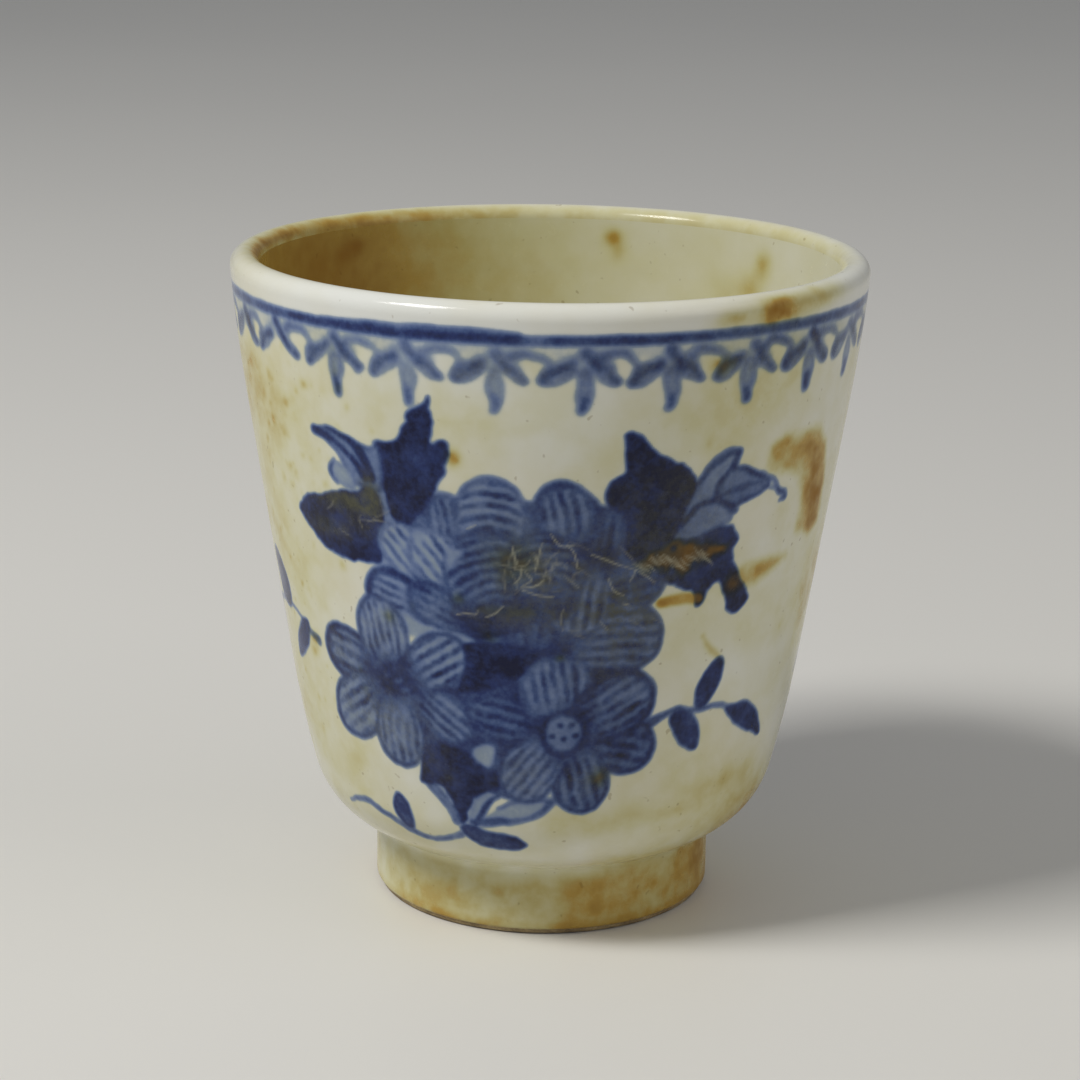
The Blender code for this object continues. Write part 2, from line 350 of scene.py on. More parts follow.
def lowerSpray(canvas):
    # the dark leaf under the flowers, its pale edge, and the stems and buds below
    area(canvas, [(-14.6, 18.6), (-13, 18.6), (-11.4, 17), (-10, 14.6), (-10.8, 14.2), (-11.8, 15.6),
        (-13.2, 17.2)], 0.42, rim=0.15)
    area(canvas, [(-13.8, 22.9), (-11, 23.3), (-8.6, 22.6), (-7.4, 21.4), (-5.6, 21), (-4.4, 19.8),
        (-6, 18.6), (-7.8, 17.7), (-8.8, 16.2), (-9.7, 14.2), (-10.9, 16.6), (-12.4, 18.3), (-14.6, 18.5),
        (-14.2, 20.3)], 0.9, ragged=0.3)
    area(canvas, [(-9, 14.6), (-8.4, 16.6), (-7.2, 18.2), (-5.4, 18.8), (-5.6, 17.6), (-6.6, 16.4),
        (-7.6, 15)], 0.22, rim=0.12, over=False)
    stroke(canvas, [(-8, 14.6), (-7, 16), (-6.2, 17.3), (-5.2, 17.9)], (0.8, 0.8, 0.7, 0.5), 0.62)
    area(canvas, [(-8.6, 14.6), (-6.4, 15.6), (-4, 17.2), (-1.6, 17.7), (1.3, 17.4), (-0.4, 16),
        (-2.8, 15.1), (-5.6, 14.7)], 0.2, edge=0.3)
    stroke(canvas, [(-8.6, 14.6), (-5.5, 14.9), (-2.8, 15.1), (-0.4, 15.9), (1, 17.2)],
        (0.8, 0.9, 0.7, 0.7, 0.9), 0.46)
    stroke(canvas, [(-5.2, 16.4), (-3.4, 17.3), (-1.2, 17.7), (1.6, 17.6)], (0.4, 0.7, 0.6, 0.8), 0.4)
    area(canvas, [(-10.2, 13.9), (-8.6, 14.2), (-6.4, 13.7), (-4.2, 13.5), (-2.4, 12.8), (-1.9, 12.1),
        (-3.2, 11.5), (-5.4, 11.4), (-7.6, 11.8), (-9.4, 12.7)], 0.78, rim=0.12)
    stroke(canvas, [(-28.9, 13.2), (-26.6, 13.9), (-24, 14.1), (-21.6, 13.4), (-19, 12.6), (-15.5, 11.7),
        (-12.6, 12), (-10.2, 12.9)], (0.3, 0.6, 0.7, 0.6, 0.9, 0.6, 0.6, 0.8), 0.5)
    area(canvas, [(-18.7, 16.4), (-19.7, 15.2), (-19.4, 13.8), (-18.2, 12.6), (-17, 12.7), (-16.9, 14.2),
        (-17.4, 15.6)], 0.66, rim=0.2)
    stroke(canvas, [(12, 25.8), (13.4, 26.4), (15.4, 26.9), (18.4, 26.4), (21, 26.4), (23, 25.9)],
        (1.2, 0.7, 0.5, 0.5, 0.5, 0.6), 0.6)
    area(canvas, [(14.4, 26.2), (16.6, 26.6), (18, 25.4), (18.8, 23.4), (18.6, 22.1), (17.3, 22.2),
        (15.7, 23.6)], 0.84)
    area(canvas, [(17.6, 27), (17.5, 28.8), (18.6, 30.6), (20, 31.8), (21, 31.2), (20.8, 29.2),
        (19.8, 27.4), (18.6, 26.5)], 0.86)
    area(canvas, [(22.2, 25.9), (24.6, 26), (27.4, 25.1), (29.4, 23.2), (30.6, 21.1), (28.8, 21.6),
        (26, 22.7), (23.8, 24.2)], 0.88)


def bouquet(canvas):
    # thin washes where leaves and flower meet
    area(canvas, [(5, 48), (9, 47), (10.6, 42), (6, 41)], 0.7)
    area(canvas, [(11.6, 47), (16, 47.4), (16, 45), (12, 45)], 0.4, edge=0.3)
    area(canvas, [(2, 33.6), (9, 33.6), (10, 30), (3, 30)], 0.8)
    area(canvas, [(-10, 24.6), (-4, 24.6), (-3, 18), (-6.6, 18.6), (-9, 20.4)], 0.62)
    area(canvas, [(-17.6, 52), (-15.4, 52), (-14, 46), (-13, 43), (-16, 40.6), (-18.4, 42.6), (-18, 47)],
        0.34, edge=0.3)
    for ink, outline in zip((0.92, 0.95, 0.97, 0.84), darkLeaves):
        area(canvas, outline, ink, rim=0.06, steps=3, ragged=0.3)
    stroke(canvas, [(-12.4, 57.4), (-11, 58.6), (-10.6, 59.6)], (1.2, 0.7, 0.2), 0.9)
    leftSpray(canvas)
    rightSpray(canvas)
    # the ground of the flowers, so that no bare glaze shows between the petals
    area(canvas, [(-10.5, 49), (-4, 50), (4, 48), (9, 42), (10.5, 35), (4, 33), (-6, 33.4), (-12, 37),
        (-16, 41), (-14.6, 45)], 0.62)
    peony(canvas)
    area(canvas, [(-9.9, 44.6), (-8.2, 44.1), (-8.6, 43), (-9.7, 42)], 0.26, edge=0.5)
    area(canvas, [(-13.3, 45.6), (-12.5, 45.9), (-11.9, 45.3), (-12.5, 44.5), (-13.2, 44.8)], 0.28,
        edge=0.4)
    area(canvas, [(-24, 28), (-20, 33.5), (-14, 33.5), (-9, 29.6), (-2, 31), (3, 30), (9, 26), (8, 22.4),
        (2, 19.6), (-3, 21.6), (-8, 23.6), (-14, 22.6), (-20, 24)], 0.74)
    area(canvas, [(-15.6, 36.9), (-12.4, 36), (-8, 35.4), (-7, 34.2), (-9.2, 34.2), (-13, 34.4),
        (-15.4, 35)], 0.22, edge=0.4)
    lowerSpray(canvas)
    leftFlower(canvas)
    area(canvas, [(-18.8, 30.4), (-16.8, 31), (-15.2, 29.8), (-15.4, 28), (-17, 27.4), (-18.8, 28.4)],
        0.85, edge=0.5)
    area(canvas, [(-8.4, 34.4), (-6, 34.8), (-3, 34.6), (-0.9, 34), (-0.4, 32.7), (-2, 31.5),
        (-3.6, 30.4), (-6, 29.6), (-9.4, 29.2), (-8.6, 30.8), (-8.1, 32.8)], 0.93)
    rightFlower(canvas)
    area(canvas, [(-7.9, 22.6), (-6.9, 23.6), (-5.4, 23.5), (-5.5, 22), (-6.5, 21)], 0.2, edge=0.3)
    # the pale eye of the right-hand flower, with its stamens
    for halfWide, halfHigh, ink, edge in ((2.7, 2.6, 0.86, 0.35), (2.1, 1.9, 0.4, 0.3)):
        ring = [(2.3 + halfWide * math.cos(turn), 25.2 + halfHigh * math.sin(turn))
                for turn in np.arange(0, 6.2, 0.6)]
        area(canvas, ring, ink, edge=edge)
    for u, z in ((1.9, 26.1), (3.2, 26.1), (0.9, 24.9), (2.3, 24.6), (3.7, 24.9)):
        stroke(canvas, [(u - 0.1, z), (u + 0.1, z)], (0.5, 0.5), 0.75, edge=0.15)
    # and a few touches at the heart of the left-hand one
    for u, z in ((-16.6, 30.6), (-15.6, 28.4), (-17.8, 29.6), (-16.4, 29.2)):
        stroke(canvas, [(u - 0.3, z), (u + 0.3, z + 0.2)], (0.5, 0.4), 0.62, over=True)


def sideSprig(canvas):
    # a small sprig with three leaves, drawn to the left of its stem's end
    stroke(canvas, [(0, 0), (-2.2, 0.6), (-5, 2), (-9, 2.4), (-14, 1.2), (-20, -1.6), (-25, -5.4)],
        (1, 0.3, 0.5, 0.6, 0.6, 0.7, 0.4), 0.5)
    area(canvas, [(-1.9, 1.5), (-3.8, 1.3), (-5.9, -0.8), (-6.5, -3.4), (-4.2, -2.4), (-2.3, -0.3)], 0.8)
    area(canvas, [(-6.8, 2), (-6.3, 4.2), (-7.8, 6.6), (-10.4, 7.8), (-11.4, 6.4), (-10.8, 4), (-9, 2)],
        0.84)
    area(canvas, [(-13.2, 1.8), (-13.2, -1), (-15, -3.8), (-17.4, -5), (-17, -2), (-15.4, 0.6)], 0.84)
    area(canvas, [(-15.6, 1.4), (-17.4, 3.6), (-20, 4.8), (-22.6, 4.4), (-21, 2.2), (-18.4, 0.6)], 0.82)


# the leaf units under the line, and which of them hang no leaf; nudge and tone are for the front ones
garland = {"count": 24, "first": -7, "last": 19, "pitch": 7.854, "offset": -4.75,
           "bare": (9, 14, 20, 21), "nudge": (0, 0, -0.1, 0.1, 0, 0.1, 0.2, 0.1),
           "tone": (0.8, 1.1, 1.3, 1.1, 1.5, 0.9)}


def garlandUnit(canvas, u, tone, pale, pendant, rng):
    # a pendant leaf between two side leaves, under a scroll, all on a cloudy wash; no two are alike
    def at(points):
        return np.array(points) + (u, 0) + rng.uniform(-0.22, 0.22, (len(points), 2))
    area(canvas, at([(-3.4, 62.4), (-2.8, 63.6), (-1, 64.2), (1.4, 64.2), (2.6, 63), (1.4, 62.3),
        (0, 62.8), (-1.6, 62.2)]), 0.16 * pale, edge=0.35, over=False)
    area(canvas, at([(-0.9, 63.2), (-2.2, 63.3), (-3.4, 62.7), (-3.8, 61.8), (-3.3, 61.1), (-2.2, 61.4),
        (-1.1, 62.3)]), 0.18 * pale, edge=0.2, rim=0.3 * tone, over=False)
    area(canvas, at([(0.7, 63.6), (2, 63.1), (2.8, 62.4), (3.2, 61.6), (2.6, 61.3), (1.7, 61.7),
        (0.9, 62.5)]), 0.17 * pale, edge=0.2, rim=0.3 * tone, over=False)
    if pendant:
        area(canvas, at([(-0.4, 62.7), (0.5, 62.7), (0.9, 61.2), (0.7, 59.8), (0.1, 58.5), (-0.5, 59.8),
            (-0.85, 61.2)]), 0.24 * pale, edge=0.25, rim=0.24 * tone, over=False)
        stroke(canvas, at([(-0.1, 60.2), (0, 59.5), (0.05, 58.9)]), (0.5, 0.7, 0.8), 0.5 * tone, edge=0.3)
    # the darker touches: the scroll, and the roots of the leaves
    stroke(canvas, at([(-6.4, 64), (-5.4, 64.4), (-4.2, 64.1), (-3, 63.4), (-3.4, 62.4)]),
        (1, 0.8, 0.7, 0.5, 0.5), 0.36 * tone, edge=0.3)
    stroke(canvas, at([(-1, 63.4), (-2.2, 62.7), (-3.4, 61.6)]), (0.8, 0.4, 0.9), 0.46 * tone, edge=0.25)
    stroke(canvas, at([(0.1, 64.4), (0.9, 63.3), (1.8, 62.5), (2.9, 61.6)]), (1.1, 0.8, 0.4, 0.6),
        0.48 * tone, edge=0.25)


def allRound(canvas):
    # where a band drawn all round has its points; it runs past the seam at both ends
    return np.arange(canvas["u"][0] - 4, canvas["u"][-1] + 8, 4)


def garlandBand(canvas):
    # the leaves hang from a grey wash and run together with it
    stroke(canvas, [(u, 64.7) for u in allRound(canvas)], (1.4, 1.4), 0.1, edge=0.4)
    count = garland["count"]
    rng = np.random.default_rng(11)
    nudges, tones = rng.uniform(-0.3, 0.3, count), rng.uniform(0.85, 1.4, count)
    pales = rng.uniform(0.85, 1.15, count)
    nudges[:len(garland["nudge"])] = garland["nudge"]
    tones[:len(garland["tone"])] = garland["tone"]
    for index in range(garland["first"], garland["last"]):
        # the same leaf is drawn at both sides of the seam
        turn = index % count
        u = garland["offset"] + garland["pitch"] * index + nudges[turn]
        garlandUnit(canvas, u, tones[turn], pales[turn], turn not in garland["bare"],
                    np.random.default_rng(100 + turn))


def rimLine(canvas):
    # a thin line all round, gone over twice in front
    line = [(u, 65.6 + 0.06 * math.sin(3.0 * u / paintRadius)) for u in allRound(canvas)]
    stroke(canvas, line, (0.95, 0.95), 0.6, edge=0.25, waver=0.3)
    stroke(canvas, [(-26, 65.6), (-18, 65.75), (-12, 65.95), (-6, 66), (-2.7, 65.9)],
        (0.4, 1, 1.2, 1.3, 1), 0.5, waver=0.5)
    stroke(canvas, [(0, 65.6), (6, 65.6), (14, 65.6)], (0.6, 0.9, 0.4), 0.35, waver=0.3)


def soakStainsAndShade(canvas):
    # broken yellowing all over, heavier low down and on the left, none on the lip; one patch on the right
    # is partly painted shade
    cloud = 0.5 + 0.5 * softNoise(canvas, 9, 21) + 0.25 * softNoise(canvas, 3, 22)
    band = smoothStep(66.8, 64.0, canvas["z"])[:, None]
    canvas["stain"] += (0.05 + np.maximum(cloud, 0) * 0.15) * band
    foot = smoothStep(8.0, 5.5, canvas["z"])[:, None]
    canvas["stain"] += foot * (0.19 + 0.03 * softNoise(canvas, 6, 24))
    canvas["stain"] += smoothStep(19.0, 9.0, canvas["z"])[:, None] * 0.04 * np.maximum(cloud, 0.0)
    dabs(canvas, ((-40, 52, 9, 16, 0.16), (-37, 57, 6, 4, 0.14), (-36, 22, 7, 8, 0.14),
        (-24, 20, 3, 6, 0.08), (-33, 42, 6, 5, 0.08), (-30, 55, 5, 5, 0.12), (-6, 57, 6, 3, 0.07),
        (4, 53, 5, 4, 0.06), (36, 34, 3, 4, 0.12), (27, 46, 2.4, 4, 0.1), (2, 15.4, 7, 2, 0.1),
        (8, 14.8, 6, 1.6, 0.1), (17, 15.2, 4, 0.9, 0.14), (10.5, 9.6, 2.2, 0.8, 0.1),
        (24, 17.2, 5, 1.1, 0.14), (30, 14, 8, 4, 0.2), (36, 10, 8, 4, 0.3), (40, 36, 5, 7, 0.2),
        # the patch at u 22, z 60 is partly a stain and partly painted shade, where the right side turns
        # away from the key light
        (42, 52, 8, 14, 0.08), (22, 60, 9, 5, 0.1), (12, 8.2, 9, 1.3, 0.08), (24, 9, 6, 1.6, 0.14)))
    # the cobalt hides most of this yellow
    canvas["stain"] *= 1.0 - 0.75 * smoothStep(0.05, 0.4, canvas["cobalt"])
    # the foot: brown smudges, most on the right
    dab(canvas, 34, 3, 18, 6, 0.2)
    dab(canvas, 8, 4, 13, 4, 0.1)
    for u, z in ((8, 5.2), (11, 4.6), (17, 3.6), (21, 4.4), (24, 3), (-14, 2.4), (2, 1.8)):
        dab(canvas, u, z, 1.8, 0.7, 0.06)
    # over the lip it yellows towards the inside, most at the back
    around = 0.5 - 0.5 * np.cos(canvas["u"] / paintRadius)
    canvas["stain"] += smoothStep(68.6, 71.6, canvas["z"])[:, None] * (0.14 + 0.14 * around)
    # two marks on the front of the foot, and the foot darker towards its lower edge
    dab(canvas, -4, 5.2, 4, 0.7, 0.07)
    dab(canvas, -7.5, 4.4, 1, 0.6, 0.14)
    canvas["stain"] += smoothStep(1.9, 0.9, canvas["z"])[:, None] * 0.12


def spotStains(canvas):
    # a thick smear where something was spilt, and what ran from it
    area(canvas, [(23, 52), (23.8, 53.8), (27, 54.2), (30.8, 54.1), (33.2, 52), (34.6, 49), (35.4, 45.6),
        (35.8, 43), (32.6, 42.9), (30, 43.4), (29.8, 46.4), (28.8, 49), (26.4, 50.2), (24.2, 50.6)], 0.42,
        edge=0.9, over=False, layer="stain", ragged=0.2)
    stroke(canvas, [(27, 52.8), (29.6, 52.2), (31.8, 50.4), (32.6, 47.4), (33.4, 44.2)],
        (0.6, 2.4, 3.2, 3.6, 3), 0.5, edge=1.3, layer="stain")
    stroke(canvas, [(20.6, 39.7), (22.4, 40.2), (25, 40.5), (28.4, 41)], (2.4, 2.4, 1.6, 0.4), 0.42,
        edge=0.9, layer="stain")
    stroke(canvas, [(12, 38.8), (14, 38.9), (16.4, 38.7)], (1, 1.5, 1), 0.62, edge=0.4, layer="stain")
    stroke(canvas, [(17.4, 34.4), (18.6, 33), (21, 31)], (0.3, 0.8, 0.4), 0.26, edge=0.4, layer="stain")
    area(canvas, [(8.6, 42.8), (11, 44), (14, 44.8), (17, 44.6), (18.4, 43.6), (16.4, 42.4), (12.4, 41.9),
        (9.6, 42.2)], 0.68, edge=0.9, over=False, layer="stain", ragged=0.8)
    dabs(canvas, ((-8.7, 53.6, 0.7, 0.9, 0.5), (6.5, 20.2, 1, 1, 0.45), (-3.2, 43.2, 2.2, 2.2, 0.42),
        (-8.8, 39.2, 0.6, 0.6, 0.4), (-5.5, 35.5, 0.9, 0.6, 0.36), (-3.6, 38.2, 3.4, 0.6, 0.3),
        (1.6, 33.4, 0.5, 0.4, 0.4), (-17.6, 48.6, 0.9, 1.4, 0.35), (-20.4, 47.6, 2.4, 0.7, 0.3),
        (-24.6, 44.6, 1.8, 0.7, 0.3), (-17, 36.2, 0.8, 0.7, 0.28), (16, 62.6, 1, 0.8, 0.5),
        (21.4, 67.3, 2.2, 1, 0.34), (22.8, 66.8, 1.2, 0.7, 0.22), (20.7, 66.4, 0.9, 0.5, 0.2),
        (22.4, 68.2, 1.4, 0.5, 0.16), (16.6, 66.9, 1.7, 0.8, 0.36), (23, 67.4, 5, 1.5, 0.32),
        (28, 68, 4.6, 1.2, 0.3), (-30, 31, 1, 0.7, 0.4), (-30.4, 29.6, 0.9, 0.7, 0.3)))
    # the lip is browned on the left, where the tea was drunk
    stroke(canvas, [(-60, 71.2), (-40, 71.1), (-20, 71.2), (-6, 71.4), (6, 71.6)],
        (0.6, 1.2, 1, 0.7, 0.2), 0.3, edge=0.5, layer="stain", waver=0.6)
    dab(canvas, -52, 70.8, 16, 1.6, 0.28)
    dab(canvas, -72, 71.6, 14, 1.4, 0.3)
    rng = np.random.default_rng(29)
    for spot in range(150):
        u, z = rng.uniform(-44, -18), rng.uniform(18, 63)
        if spot % 3 == 0:
            u = rng.uniform(-60, 128)
        size = rng.uniform(0.12, 0.5)
        dab(canvas, u, z, size, size * rng.uniform(0.8, 1.6), rng.uniform(0.04, 0.12))
    # more of them high up on the left
    for spot in range(60):
        size = rng.uniform(0.2, 0.6)
        dab(canvas, rng.uniform(-38, -20), rng.uniform(48, 62), size, size, rng.uniform(0.03, 0.1))
    for u, z, size in ((-25, 58.8, 0.5), (-29.4, 53.2, 0.7), (-28.4, 56.2, 0.4), (-31, 58.4, 0.5)):
        dab(canvas, u, z, size, size, 0.15)


def dirtFilm(canvas):
    # a dull film that clings to the painting more than to the bare glaze
    dabs(canvas, ((-2, 42.5, 4.6, 3.6, 0.5), (6, 40, 8, 6, 0.46), (9, 36, 6, 5, 0.4),
        (11, 48, 7, 6, 0.26), (-21, 47.6, 4, 0.9, 0.9), (-17.8, 48.4, 1.2, 2.2, 0.9),
        (-20, 45.4, 4, 1.6, 0.3), (-24, 44.2, 3, 0.9, 0.4), (22, 63, 22, 2.6, 0.5), (-6, 62, 5, 2, 0.4),
        (-36, 63, 5, 2, 0.5), (-18, 28, 9, 7, 0.14), (-2.6, 20.6, 3.6, 3, 0.34), (-4, 48, 8, 4, 0.14),
        (-20, 62, 8, 2, 0.24), (-13, 42, 5, 4.5, -0.1), (-18.6, 34.8, 3.4, 3.4, 0.3),
        (-24.5, 31, 3, 2.6, 0.35), (-17.5, 23, 4.5, 4, 0.34), (8, 27, 8, 8, 0.2), (5.6, 20, 3, 2.6, 0.3),
        (-4, 37.6, 6, 1.2, 0.45), (16, 49, 5, 5, 0.2), (-12, 20, 3, 3, 0.2), (-22, 25, 4, 3, 0.3)),
        "dust")
    canvas["dust"] = (canvas["dust"] + 0.05) * smoothStep(0.08, 0.4, canvas["cobalt"])


def strayHairs(canvas):
    # fine pale scratches and hairs caught on the film, and crazing in the stain beside them
    def hair(points, ink=0.42):
        stroke(canvas, points, (0.12, 0.18, 0.1), ink, edge=0.12, layer="lint", waver=0.3)
    for points in (
            [(-9, 37.5), (-8.1, 37.7), (-7, 37.7), (-6.8, 38.1)], [(-5.9, 37.5), (-5, 37.9), (-4.2, 38.7)],
            [(-3.2, 45), (-3, 44), (-2.7, 43.1)], [(-2.3, 42.8), (-2.5, 41.8), (-3.1, 41.1)],
            [(-2, 42.4), (-1.4, 41.6), (-2.2, 41)], [(-0.4, 45.4), (-0.7, 43.9), (-1.1, 42.4)],
            [(-2.4, 40.8), (-1.2, 40.9), (-0.2, 41.6)], [(-2.2, 40.5), (-0.8, 40.1), (0.8, 39.9)],
            [(2, 45.3), (2.7, 44.4), (3.1, 42.9)], [(0.5, 46.4), (1.4, 45.2), (2.6, 45.2)],
            [(4.4, 44.3), (6.6, 43.3), (8.8, 42.5)], [(8.9, 42.4), (8.7, 41.8), (8.4, 41.3)],
            [(8.9, 42.5), (10, 41.8), (11, 41)], [(7.9, 39), (8.6, 38.8)], [(-7.6, 46.6), (-6.8, 47)],
            [(6.2, 41.6), (6.8, 40.4), (7.8, 39.9)]):
        hair(points)
    rng = np.random.default_rng(33)
    # loose tangles: how many, round which place, and how far they spread
    for count, centre, spread in ((20, (-1, 42.8), (3.4, 2.4)), (9, (4, 43.6), (5, 1.8)),
                                  (8, (3, 38), (6, 3)), (8, (-20, 46.6), (4, 1.4))):
        for _ in range(count):
            u, z = rng.normal(centre, np.array(spread) * 0.6)
            turn, bow = rng.uniform(0, math.pi), rng.uniform(-0.4, 0.4)
            reach = rng.uniform(0.3, 1.3)
            du, dz = reach * math.cos(turn), reach * math.sin(turn)
            hair([(u - du, z - dz), (u + bow, z - bow), (u + du, z + dz)], rng.uniform(0.08, 0.28))
    # crazing: short slanting cracks along a band
    for step in range(34):
        u = 9.0 + 8.0 * step / 33
        z = 43.0 - 0.4 * math.sin(step * 0.4) + rng.uniform(-0.3, 0.3)
        hair([(u - 0.5, z + rng.uniform(0.1, 0.7)), (u, z), (u + 0.5, z - rng.uniform(0.1, 0.7))],
            rng.uniform(0.15, 0.4))


# where each motif stands round the wall, and how far and strongly the blue creeps in the kiln
painting = {"bouquets": (0, 92), "sprigs": (-29, 65), "sprigHeight": 31, "hazePasses": 16, "haze": 0.14}


def paintCup(u, z):
    canvas = makeCanvas(u, z)
    garlandBand(canvas)
    canvas["cobalt"] = soften(canvas["cobalt"], 2)
    rimLine(canvas)
    for place in painting["bouquets"]:
        bouquet(dict(canvas, u=canvas["u"] - place))
    for place in painting["sprigs"]:
        sideSprig(dict(canvas, u=canvas["u"] - place, z=canvas["z"] - painting["sprigHeight"]))
    canvas["cobalt"] = soften(canvas["cobalt"])
    haze = painting["haze"] * soften(canvas["cobalt"], painting["hazePasses"])
    canvas["cobalt"] = 1.0 - (1.0 - canvas["cobalt"]) * (1.0 - haze)
    print("cobalt painted")
    soakStainsAndShade(canvas)
    spotStains(canvas)
    dirtFilm(canvas)
    strayHairs(canvas)
    for layer in ("stain", "dust"):
        canvas[layer] = np.clip(canvas[layer], 0, 1)
    return canvas


def paintInside(u, z):
    # how much tea has browned each place inside: z is 67 at the lip and falls towards the floor
    canvas = makeCanvas(u, z)
    canvas["load"] *= 0.3  # tea browns more evenly than a brush
    canvas["stain"] += 0.14 + 0.05 * softNoise(canvas, 12, 31) + 0.03 * softNoise(canvas, 4, 32)
    dabs(canvas, ((134, 60, 27, 18, 0.56), (116, 62, 16, 12, 0.14), (150, 40, 30, 22, 0.25),
        (118.5, 65.6, 1.4, 0.8, 0.24), (120.5, 64.6, 1.8, 1, 0.2), (87, 65.6, 1, 0.9, 0.4),
        (86.4, 64.2, 0.9, 1.2, 0.16), (67, 64.4, 1.3, 1.6, 0.34), (68.6, 61.6, 2, 1.6, 0.26),
        (72, 60, 3, 2, 0.12), (98, 60, 10, 8, 0.08), (60, 20, 90, 16, 0.3)))
    return np.clip(canvas["stain"], 0, 1)


def walk(start, heading, runs, arcStep=3.0):
    # follow straight runs (length,) and arcs (radius, turn) and give back the points
    r, z = start
    points = [(r, z)]
    for run in runs:
        if len(run) == 1:
            r += run[0] * math.cos(math.radians(heading))
            z += run[0] * math.sin(math.radians(heading))
            points.append((r, z))
            continue
        radius, turn = run
        side = math.copysign(radius, turn)
        centreR = r - side * math.sin(math.radians(heading))
        centreZ = z + side * math.cos(math.radians(heading))
        steps = max(4, math.ceil(abs(turn) / arcStep))
        for step in range(1, steps + 1):
            angle = math.radians(heading + turn * step / steps)
            points.append((centreR + side * math.sin(angle), centreZ - side * math.cos(angle)))
        r, z = points[-1]
        heading += turn
    return points, heading


def cupOutlines(shape):
    # outside and over the lip, inside to the axis, and the hollow under the cup
    filletTurn = 90.0 - shape["undersideAngle"]
    filletReach = shape["footFillet"] * math.tan(math.radians(filletTurn / 2))
    roll = shape["edgeRoll"]
    outside, heading = walk((shape["footRadius"] - roll, shape["bareEdge"] - roll), 0.0, [
        (roll, 90.0),
        (shape["footHeight"] - filletReach - shape["bareEdge"],),
        (shape["footFillet"], -filletTurn),
        (shape["undersideRun"],),
        (shape["bellyRadius"], shape["bellyTurn"]),
        (shape["shoulderRadius"], shape["shoulderTurn"]),
        (shape["wallRun"],),
        (shape["flareRadius"], shape["flareTurn"]),
        (shape["wall"] / 2, 180.0),
    ])
    inside, heading = walk(outside[-1], heading, [
        (shape["flareRadius"] - shape["wall"], -shape["flareTurn"]),
        (shape["wallRun"],),
        (shape["shoulderRadius"] - shape["wall"], -shape["shoulderTurn"]),
        (shape["bellyRadius"] - shape["wall"], -shape["bellyTurn"]),
        (shape["floorRadius"], -shape["undersideAngle"]),
    ])
    inside.append((0.0, inside[-1][1]))
    inner = shape["footRadius"] - shape["wall"]
    well, heading = walk((inner + roll, shape["bareEdge"] - roll), 180.0, [
        (roll, -90.0),
        (shape["wellCeiling"] - shape["wellFillet"] - shape["bareEdge"],),
        (shape["wellFillet"], 90.0),
    ])
    well.append((0.0, well[-1][1]))
    return outside, inside, well


def evenly(points, spacing):
    # the same line with points at an even spacing, and how far along it each one lies
    points = np.array(points)
    marks = np.concatenate([[0.0], np.cumsum(np.hypot(*np.diff(points, axis=0).T))])
    along = np.linspace(0.0, marks[-1], max(3, round(marks[-1] / spacing) + 1))
    return np.interp(along, marks, points[:, 0]), np.interp(along, marks, points[:, 1]), along


def turnSkin(name, radii, heights, angles, layers=None, inward=False, looped=False):
    # a turned surface; a profile that ends on the axis is closed there with a single point
    count = len(angles)
    closes = radii[-1] < 0.001
    rows = len(radii) - 1 if closes else len(radii)
    points = np.empty((rows, count, 3))
    points[..., 0] = radii[:rows, None] * np.sin(angles)
    points[..., 1] = -radii[:rows, None] * np.cos(angles)
    points[..., 2] = heights[:rows, None]
    points = points.reshape(-1, 3)
    grid = np.arange(rows * count).reshape(rows, count)
    low, high = (grid, np.roll(grid, -1, axis=0)) if looped else (grid[:-1], grid[1:])
    corners = [low, np.roll(low, -1, axis=1), np.roll(high, -1, axis=1), high]
    faces = np.stack(corners[::-1] if inward else corners, axis=-1).reshape(-1, 4).tolist()
    if closes:
        spokes = [grid[-1], np.roll(grid[-1], -1), np.full(count, len(points))]
        points = np.vstack([points, [0.0, 0.0, heights[-1]]])
        faces += np.stack(spokes[::-1] if inward else spokes, axis=-1).tolist()
    mesh = bpy.data.meshes.new(name)
    mesh.from_pydata((points * mm).tolist(), [], faces)
    mesh.shade_smooth()
    for layer, values in (layers or {}).items():
        spread = np.concatenate([values[:rows].ravel(), values[-1, :1]])[:len(points)]
        attribute = mesh.attributes.new(layer, "FLOAT", "POINT")
        attribute.data.foreach_set("value", spread.astype(np.float32))
    piece = bpy.data.objects.new(name, mesh)
    bpy.context.scene.collection.objects.link(piece)
    return piece


def settle(piece, node, material):
    piece.data.materials.append(material)
    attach(piece, "root")
    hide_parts(node)


def shade(red, green, blue):
    # a colour as seen on screen, 0 to 255, turned into the light values that a shader wants
    def linear(value):
        value /= 255.0
        return value / 12.92 if value <= 0.04045 else ((value + 0.055) / 1.055) ** 2.4
    return (linear(red), linear(green), linear(blue), 1.0)


def addNode(tree, kind, inputs=None, **settings):
    made = tree.nodes.new(kind)
    for key, value in settings.items():
        setattr(made, key, value)
    for key, value in (inputs or {}).items():
        if isinstance(value, bpy.types.NodeSocket):
            tree.links.new(value, made.inputs[key])
        else:
            made.inputs[key].default_value = value
    return made


def mixColour(tree, share, first, second, blend="MIX"):
    mixed = addNode(tree, "ShaderNodeMix", {0: share, 6: first, 7: second}, data_type="RGBA",
                    blend_type=blend)
    return mixed.outputs[2]


def remap(tree, value, low, high, toLow=0.0, toHigh=1.0):
    ranged = addNode(tree, "ShaderNodeMapRange",
                     {"Value": value, "From Min": low, "From Max": high, "To Min": toLow,
                      "To Max": toHigh}, interpolation_type="SMOOTHSTEP")
    return ranged.outputs["Result"]


def calc(tree, operation, first, second, clamp=False):
    return addNode(tree, "ShaderNodeMath", {0: first, 1: second}, operation=operation,
                   use_clamp=clamp).outputs["Value"]


